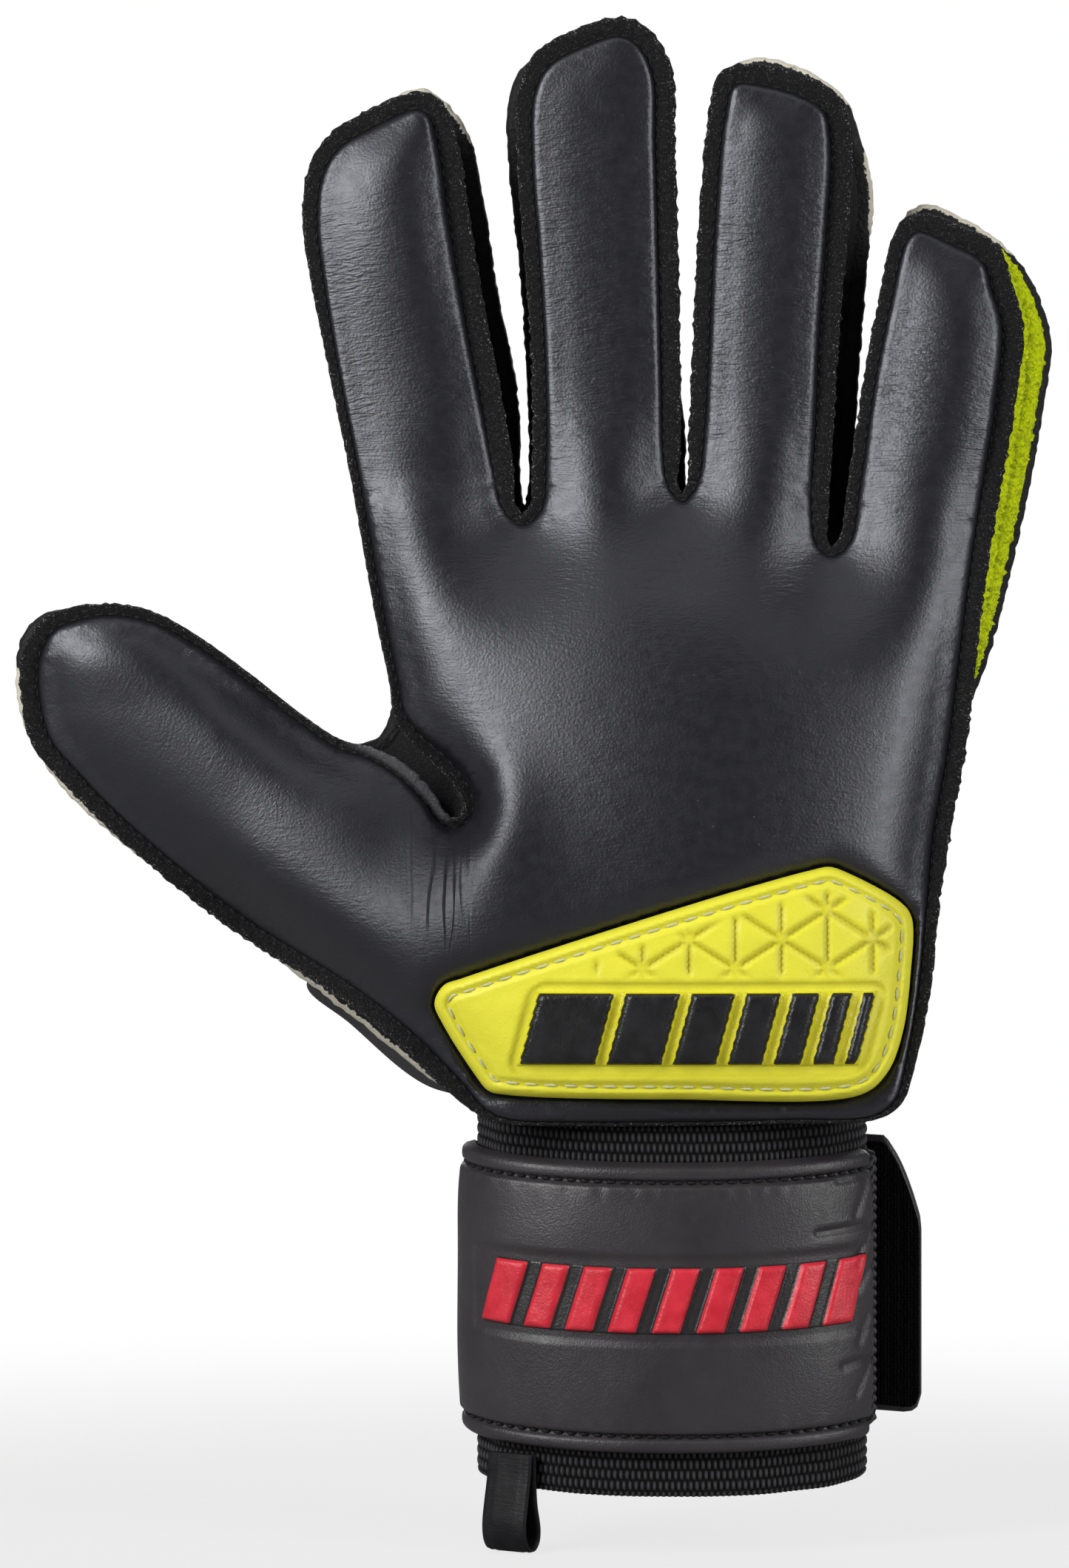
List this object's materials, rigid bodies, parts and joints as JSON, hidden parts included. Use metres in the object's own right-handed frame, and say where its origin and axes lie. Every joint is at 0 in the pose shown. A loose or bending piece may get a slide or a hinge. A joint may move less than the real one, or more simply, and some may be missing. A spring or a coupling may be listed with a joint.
{
  "type": "goalkeeper glove",
  "caption": "Right-hand goalkeeper glove with a padded back, latex palm, bending fingers, moulded wrist pad, knitted cuff, wrap-round strap and pull loop.",
  "frame": {"origin": "at the mouth of the cuff, where the hand goes in", "axes": "+Z from the cuff to the fingertips, +Y out of the palm, +X away from the thumb"},
  "size_m": [0.1882, 0.0515, 0.2732],
  "materials": {
    "back_leather": "grained, semi-gloss",
    "palm_latex": "matt foam",
    "lime_mesh": "terry mesh",
    "lemon_pad": "moulded, satin",
    "black_rubber": "moulded, satin",
    "red_rubber": "moulded, satin",
    "heel_leather": "smooth, satin",
    "strap_leather": "satin",
    "black_knit": "knitted elastic",
    "black_fleece": "brushed fleece"
  },
  "bodies": {
    "hand": {"palm_latex": "palm_latex", "backhand_base": "black_fleece", "backhand_panel": "back_leather", "thumb_index_web": "black_fleece", "index_middle_web": "black_fleece", "middle_ring_web": "black_fleece", "ring_pinky_web": "black_fleece", "side_mesh": "lime_mesh", "side_gusset": "black_fleece", "heel_gusset": "black_fleece", "back_pad": "lemon_pad", "pad_bar": "black_rubber", "heel_patch": "heel_leather", "cuff": "black_knit", "strap_band": "strap_leather", "strap_lower_binding": "strap_leather", "strap_upper_binding": "strap_leather", "strap_bar": "red_rubber", "strap_tape": "black_knit", "loop_patch": "black_knit"},
    "thumb": {"thumb_panel": "back_leather", "thumb_base": "black_fleece", "thumb_palm": "palm_latex", "thumb_gusset_left": "black_fleece", "thumb_gusset_right": "black_fleece"},
    "index": {"index_panel": "back_leather", "index_base": "black_fleece", "index_palm": "palm_latex", "index_gusset_left": "black_fleece", "index_gusset_right": "black_fleece"},
    "middle": {"middle_panel": "back_leather", "middle_base": "black_fleece", "middle_palm": "palm_latex", "middle_gusset_left": "black_fleece", "middle_gusset_right": "black_fleece"},
    "ring": {"ring_panel": "back_leather", "ring_base": "black_fleece", "ring_palm": "palm_latex", "ring_gusset_left": "black_fleece", "ring_gusset_right": "black_fleece"},
    "pinky": {"pinky_panel": "back_leather", "pinky_base": "black_fleece", "pinky_palm": "palm_latex", "pinky_gusset_left": "black_fleece", "pinky_gusset_right": "lime_mesh"},
    "strap_flap": {"strap_flap": "strap_leather", "hook_patch": "black_knit"},
    "pull_loop": {"pull_loop": "black_knit"}
  },
  "joints": [
    {"name": "thumb_bend", "type": "hinge", "parent": "hand", "child": "thumb", "pos_m": [-0.07255, 0.0228, 0.1211], "axis": [-0.5115, 0, -0.8593], "range_deg": [0, 50], "stiffness_Nm_per_rad": 0.03},
    {"name": "index_bend", "type": "hinge", "parent": "hand", "child": "index", "pos_m": [-0.0457, 0.0228, 0.1875], "axis": [-0.995, 0, -0.1003], "range_deg": [0, 70], "stiffness_Nm_per_rad": 0.03},
    {"name": "middle_bend", "type": "hinge", "parent": "hand", "child": "middle", "pos_m": [-0.01295, 0.0228, 0.1872], "axis": [-0.9993, 0, -0.0383], "range_deg": [0, 70], "stiffness_Nm_per_rad": 0.03},
    {"name": "ring_bend", "type": "hinge", "parent": "hand", "child": "ring", "pos_m": [0.01455, 0.0228, 0.1873], "axis": [-0.9982, 0, 0.0602], "range_deg": [0, 70], "stiffness_Nm_per_rad": 0.03},
    {"name": "pinky_bend", "type": "hinge", "parent": "hand", "child": "pinky", "pos_m": [0.0436, 0.0228, 0.18195], "axis": [-0.9899, 0, 0.1421], "range_deg": [0, 70], "stiffness_Nm_per_rad": 0.03},
    {"name": "strap_open", "type": "hinge", "parent": "hand", "child": "strap_flap", "pos_m": [-0.0391, 0.0012, 0.038], "axis": [0, 0, 1], "range_deg": [0, 140]},
    {"name": "loop_swing", "type": "hinge", "parent": "hand", "child": "pull_loop", "pos_m": [-0.03003, -0.01249, 0.0092], "axis": [-0.8335, 0.5526, 0], "range_deg": [0, 100]}
  ]
}
